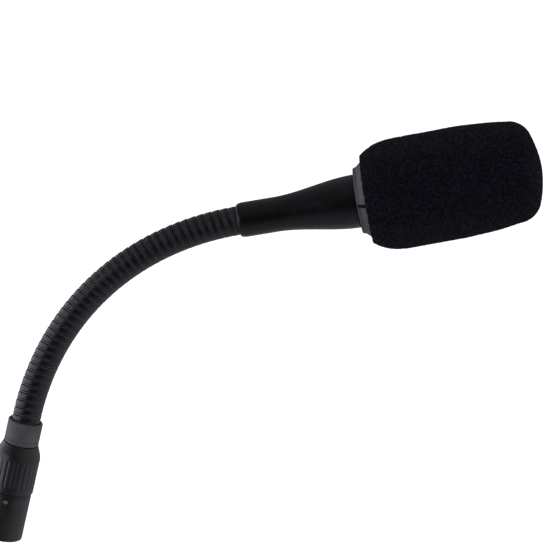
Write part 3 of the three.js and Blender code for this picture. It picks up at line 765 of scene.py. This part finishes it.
def makeSleeve():
    rear, bore, length = sleeve["rear"], neck["radius"] + seat, sleeve["length"]
    angles = np.linspace(-turn / 4, 0, 10)[1:]
    nose = [(rear - sleeve["nose"] * (1 - math.cos(a)), sleeve["round"] * (1 + math.sin(a))) for a in angles]
    heights = np.linspace(sleeve["round"], length - sleeve["edge"], 90)[1:]
    side = list(zip(sleeveRadius(heights), heights))
    lip = [(sleeve["front"] - sleeve["edge"], length), (sleeve["front"] - sleeve["wall"], length)]
    inward = np.linspace(length - 4, sleeve["straight"] + 2, 12)
    inner = ([(max(sleeveRadius(h) - sleeve["wall"], bore), h) for h in inward]
             + [(bore, sleeve["bevel"]), (bore + sleeve["bevel"], 0)])
    piece = turnedPiece("head_sleeve_moulded", nose + side + lip + inner, headFoot, headAxis,
                        "satin_black", 144)
    across = np.array([headAxis[2], 0.0, -headAxis[0]])
    centre = headFoot + mm * (sleeve["screwPlace"] * headAxis + rear * across)
    wide = sleeve["holeRadius"]
    hole = turnedPiece("tool", [(0, -2), (wide, -2), (wide, 1), (0, 1)], centre, across, "steel", 32)
    cutFrom(piece, hole)
    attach(piece, "head")
    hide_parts("head_sleeve")
    crossScrew("sleeve_screw_head", centre - 0.2 * mm * across, across, headAxis, 1.0, 0.7,
               "sleeve_screw", "head")


# The vent ring: a flared flange with a row of slots sunk in its slope.
def makeVentRing():
    rear, front, flare = ring["rear"], ring["front"], ringEnd - ring["rim"]
    slope = [(rear + 0.4 + (front - rear - 0.6) * t, ringPlace + 1.5 + (flare - ringPlace - 1.5) * t, 0)
             for t in np.linspace(0.02, 0.98, 40)]
    spigot = basket["radius"] - 0.9
    outline = eased([
        (ring["bore"], ringPlace, 0.1), (rear, ringPlace, 0.35), (rear + 0.35, ringPlace + 1.4, 0.5), *slope,
        (front, flare + 0.2, 0.35), (front, ringEnd, 0.2), (spigot, ringEnd, 0.1),
        (spigot, ringEnd + ring["spigot"], 0.2), (ring["bore"], ringEnd + ring["spigot"], 0.2),
    ])
    half = ring["slotWidth"] / 2

    def slots(radius, height, angle):
        step = turn / ring["slots"]
        past = (angle + step / 2) % step - step / 2
        foot, top, soft = ring["slotFoot"], ring["slotTop"], ring["slotSoft"]
        onSlope = smooth(height, ringPlace + foot[0], ringPlace + foot[1])
        onSlope = onSlope * smooth(-height, -flare + top[0], -flare + top[1])
        sunk = (1 - smooth(np.abs(past) * radius, half - soft, half + soft)) * onSlope
        depth = np.maximum(radius - rear + ring["slotFloor"], 0) * sunk
        return radius - depth * (radius > rear - ring["slotReach"]), height

    piece = turnedPiece("vent_ring_moulded", outline, headFoot, headAxis, "grey_collar", 360, slots)
    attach(piece, "head")
    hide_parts("vent_ring")


# A woven tube: lines of points joined into thin square-sided wires, all in one mesh.
def wirePieces(name, lines, radius, slot, closed):
    count, length = lines.shape[:2]
    way = np.roll(lines, -1, 1) - np.roll(lines, 1, 1)
    if not closed:
        way[:, 0], way[:, -1] = lines[:, 1] - lines[:, 0], lines[:, -1] - lines[:, -2]
    way /= np.linalg.norm(way, axis=-1, keepdims=True)
    centre = headFoot + mm * basketPlace * headAxis
    fromAxis = lines - centre
    outward = fromAxis - (fromAxis @ headAxis)[..., None] * headAxis * 0.6
    side = np.cross(way, outward)
    side /= np.linalg.norm(side, axis=-1, keepdims=True)
    up = np.cross(side, way)
    angles = np.arange(5) * turn / 5
    section = np.cos(angles)[:, None] * side[..., None, :] + np.sin(angles)[:, None] * up[..., None, :]
    points = lines[..., None, :] + radius * mm * section
    meshes = []
    for i in range(count):
        ends = (None, None) if closed else (points[i, 0].mean(0), points[i, -1].mean(0))
        meshes.append(gridPiece(f"{name}_wire", points[i], slot, closed, ends))
    return joined(name, meshes)


def joined(name, pieces):
    target = pieces[0]
    with bpy.context.temp_override(active_object=target, selected_editable_objects=pieces):
        bpy.ops.object.join()
    target.name = target.data.name = name
    return target


# The basket's middle surface: a straight wall, a quarter-round corner and a flat front. Distance runs
# along it from the foot.
def basketSurface(distance):
    wall = basket["length"] - basket["round"]
    bend = np.clip((distance - wall) / basket["round"], 0, turn / 4)
    past = np.maximum(distance - wall - basket["round"] * turn / 4, 0)
    radius = basket["radius"] - 0.35 - basket["round"] * (1 - np.cos(bend)) - past
    height = basketPlace + np.minimum(distance, wall) + basket["round"] * np.sin(bend)
    return radius, height, bend


def makeBasket():
    wires, rows = basket["wires"], basket["rows"]
    reach = basket["length"] - basket["round"] + basket["round"] * 1.45
    amplitude = basket["wireRadius"]

    def lines(distance, angle, over):
        radius, height, bend = basketSurface(distance)
        radius = radius + over * amplitude * np.cos(bend)
        height = height + over * amplitude * np.sin(bend)
        across = np.array([headAxis[2], 0.0, -headAxis[0]])
        side = np.cos(angle)[..., None] * across + np.sin(angle)[..., None] * np.array([0.0, 1.0, 0.0])
        return headFoot + mm * (height[..., None] * headAxis + radius[..., None] * side)

    index = np.arange(wires)[:, None]
    distance = np.linspace(0.3, reach, rows * 4 + 1)[None]
    over = np.cos(math.pi * (np.arange(rows * 4 + 1)[None] / 4 + index))
    along = lines(np.broadcast_to(distance, over.shape),
                  np.broadcast_to(index * turn / wires, over.shape), over)
    warp = wirePieces("basket_warp", along, basket["wireRadius"], "nickel", False)
    ringIndex = np.arange(rows + 1)[:, None]
    angle = np.arange(wires * 4)[None] * turn / (wires * 4)
    overRing = -np.cos(math.pi * (np.arange(wires * 4)[None] / 4 + ringIndex))
    at = np.broadcast_to(0.3 + ringIndex * (reach - 0.3) / rows, overRing.shape)
    weft = wirePieces("basket_weft", lines(at, np.broadcast_to(angle, overRing.shape), overRing),
                      basket["wireRadius"], "nickel", True)
    frontHeight = basketPlace + basket["length"]
    radius, height, _ = basketSurface(np.array(reach))
    cap = turnedPiece("basket_front_cap", eased([
        (0, frontHeight + 0.5, 0), (float(radius) - 1.5, frontHeight + 0.35, 0.8),
        (float(radius) + 0.5, float(height) - 0.1, 0.3), (float(radius) + 0.2, float(height) - 0.6, 0.2),
        (float(radius) - 1.5, frontHeight - 0.2, 0.8), (0, frontHeight - 0.1, 0),
    ]), headFoot, headAxis, "nickel", 96)
    for piece in (warp, weft, cap):
        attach(piece, "head")
        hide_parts("grille_basket")


# The windscreen.

foam = {
    "radius": 23.4, "length": 74.9, "rim": 18.5, "swellLength": 18, "taperFrom": 37.45, "taper": 2.0,
    "corner": 9.7, "dome": 2.2, "cornerAngle": 69, "poreSize": 1.15, "poreDepth": 0.5, "spacing": 0.3,
    "rearLift": -0.05, "frontLift": 1.45, "fullness": 0.48,
}
foamPlace = ringEnd - ring["rim"]


# The foam's outer outline from the rear rim to the front middle: a swell that eases out, an even
# stretch, a slow taper, a round corner and a parabolic front.
def foamOutline():
    radius, front = foam["radius"], foamPlace + foam["length"]
    cornerFoot = foam["length"] - foam["dome"] - foam["corner"]
    along = np.linspace(0, cornerFoot, 200)
    rear = np.clip(1 - along / foam["swellLength"], 0, 1) ** 3 * (radius - foam["rim"])
    taper = foam["taper"] * np.clip((along - foam["taperFrom"]) / (cornerFoot - foam["taperFrom"]), 0, 1) ** 2
    side = np.stack([radius - rear - taper, foamPlace + along], -1)
    angle = np.radians(np.linspace(0, foam["cornerAngle"], 40))[1:]
    start = radius - foam["taper"] - foam["corner"]
    corner = np.stack([start + foam["corner"] * np.cos(angle),
                       foamPlace + cornerFoot + foam["corner"] * np.sin(angle)], -1)
    edge, shoulder = corner[-1]
    share = np.linspace(1, 0, 60)[1:]
    dome = np.stack([edge * share, front - (front - shoulder) * share ** 2], -1)
    return np.concatenate([side, corner, dome])


# The cavity that slips over the basket, from the front middle back to the rear rim.
def foamCavity():
    bore, rim = basket["radius"] + 0.4, ring["front"] + 0.4
    front = basketPlace + basket["length"] + 0.4
    angle = np.radians(np.linspace(90, 0, 12))
    corner = np.stack([bore - basket["round"] + basket["round"] * np.cos(angle),
                       front - basket["round"] + basket["round"] * np.sin(angle)], -1)
    ends = np.array([[bore, basketFoot + 1], [rim, basketFoot + 0.3], [rim, foamPlace + 0.5]])
    return np.concatenate([[[0, front + 1.2]], corner, ends])


# Repeatable scatter: three numbers from 0 to 1 for each whole-number corner.
def scatter(corner, seed):
    mixes = np.array([[127.1, 311.7, 74.7], [269.5, 183.3, 246.1], [113.5, 271.9, 124.6]])
    return (np.sin(corner @ mixes.T + seed) * 43758.5453) % 1


# Distance from each point to the nearest of scattered centres, one in each cube of the given size.
def cellDistance(points, size, seed):
    scaled = points / size
    cell = np.floor(scaled)
    nearest = np.full(len(points), 9.0)
    for offset in np.ndindex(3, 3, 3):
        corner = cell + np.array(offset) - 1
        nearest = np.minimum(nearest, np.linalg.norm(corner + scatter(corner, seed) - scaled, axis=-1))
    return nearest


def makeFoam():
    outer = spaced(foamOutline(), foam["spacing"])[::-1]
    cavity = spaced(foamCavity()[::-1], 1.2)
    body = outer[1:]
    sides = int(turn * foam["radius"] / foam["spacing"])
    angles = np.arange(sides) * turn / sides
    skin = turnedPoints(body, headFoot, headAxis, angles)
    along, around = np.gradient(skin, axis=0), np.roll(skin, -1, 1) - np.roll(skin, 1, 1)
    outward = np.cross(along, around)
    outward /= np.linalg.norm(outward, axis=-1, keepdims=True)
    middle = headFoot + mm * (foamPlace + foam["length"] / 2) * headAxis
    if np.einsum("ijk,ijk->", outward, skin - middle) < 0:
        outward = -outward
    flat = (skin / mm).reshape(-1, 3)
    pore = 1 - smooth(cellDistance(flat, foam["poreSize"], 3.0), 0.12, 0.62)
    fine = 1 - smooth(cellDistance(flat, foam["poreSize"] * 0.55, 8.0), 0.1, 0.7)
    lump = cellDistance(flat, 14.0, 5.0) - 0.5
    pore, fine, lump = (part.reshape(skin.shape[:2]) for part in (pore, fine, lump))
    sunk = foam["poreDepth"] * pore + 0.2 * fine - 0.25 * lump - foam["fullness"]
    fromPole = np.arange(len(body))[:, None] * foam["spacing"]
    skin = skin - mm * (sunk * smooth(fromPole, 0, 1.5))[..., None] * outward
    share = ((skin - headFoot) @ headAxis / mm - foamPlace) / foam["length"]
    lift = foam["frontLift"] * share + foam["rearLift"] * (1 - share)
    skin = skin + mm * lift[..., None] * np.array([-headAxis[2], 0.0, headAxis[0]])
    inside = turnedPoints(cavity[:-1], headFoot, headAxis, angles)
    points = np.concatenate([skin, inside])
    # how much painted shade each point takes: most in the pores, half on the cavity wall
    depth = np.concatenate([np.clip(pore * 0.9 + fine * 0.3, 0, 1), np.full(inside.shape[:2], 0.5)])
    tip = mm * foam["frontLift"] * np.array([-headAxis[2], 0.0, headAxis[0]])
    poles = (headFoot + mm * outer[0, 1] * headAxis + tip, headFoot + mm * cavity[-1, 1] * headAxis)
    piece = gridPiece("foam_windscreen_cells", points, "foam", poles=poles, sharp=180, values={"pore": depth})
    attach(piece, "windscreen")
    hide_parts("foam_windscreen")


makePlug()
makeBarrel()
makeCollar()
print("base: plug, barrel and collar")
makeNeck()
print("neck:", len(hinges), "lengths")
makeSleeve()
makeVentRing()
makeBasket()
print("head: sleeve, vent ring and basket")
makeFoam()
print("windscreen")
